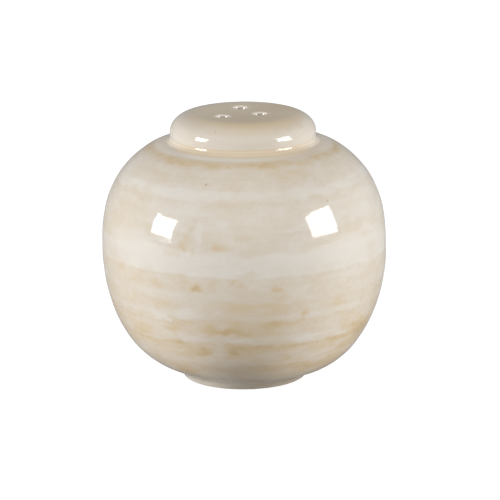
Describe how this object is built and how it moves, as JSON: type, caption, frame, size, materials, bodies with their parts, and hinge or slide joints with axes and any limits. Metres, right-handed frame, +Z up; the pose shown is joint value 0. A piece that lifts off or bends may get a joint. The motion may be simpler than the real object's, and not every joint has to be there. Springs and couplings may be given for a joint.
{
  "type": "salt shaker",
  "caption": "Round hollow glazed stoneware salt shaker with a drum-shaped cap pierced by pour holes, a low foot ring and a pull-out stopper in its base.",
  "frame": {"origin": "middle of the circle that the foot ring stands on, on the table plane", "axes": "+Z up along the axis of the globe, +Y away from the viewer of the picture, +X to the viewer's right"},
  "size_m": [0.072, 0.072, 0.0684],
  "materials": {
    "glazed_stoneware": "glossy cream reactive glaze with tan brush bands",
    "soft_rubber": "satin off-white soft rubber"
  },
  "bodies": {
    "shaker": {"ceramic_body": "glazed_stoneware"},
    "stopper": {"base_stopper": "soft_rubber"}
  },
  "joints": [
    {"name": "stopper_pull", "type": "slide", "parent": "shaker", "child": "stopper", "axis": [0, 0, -1], "range_m": [0, 0.03]}
  ]
}
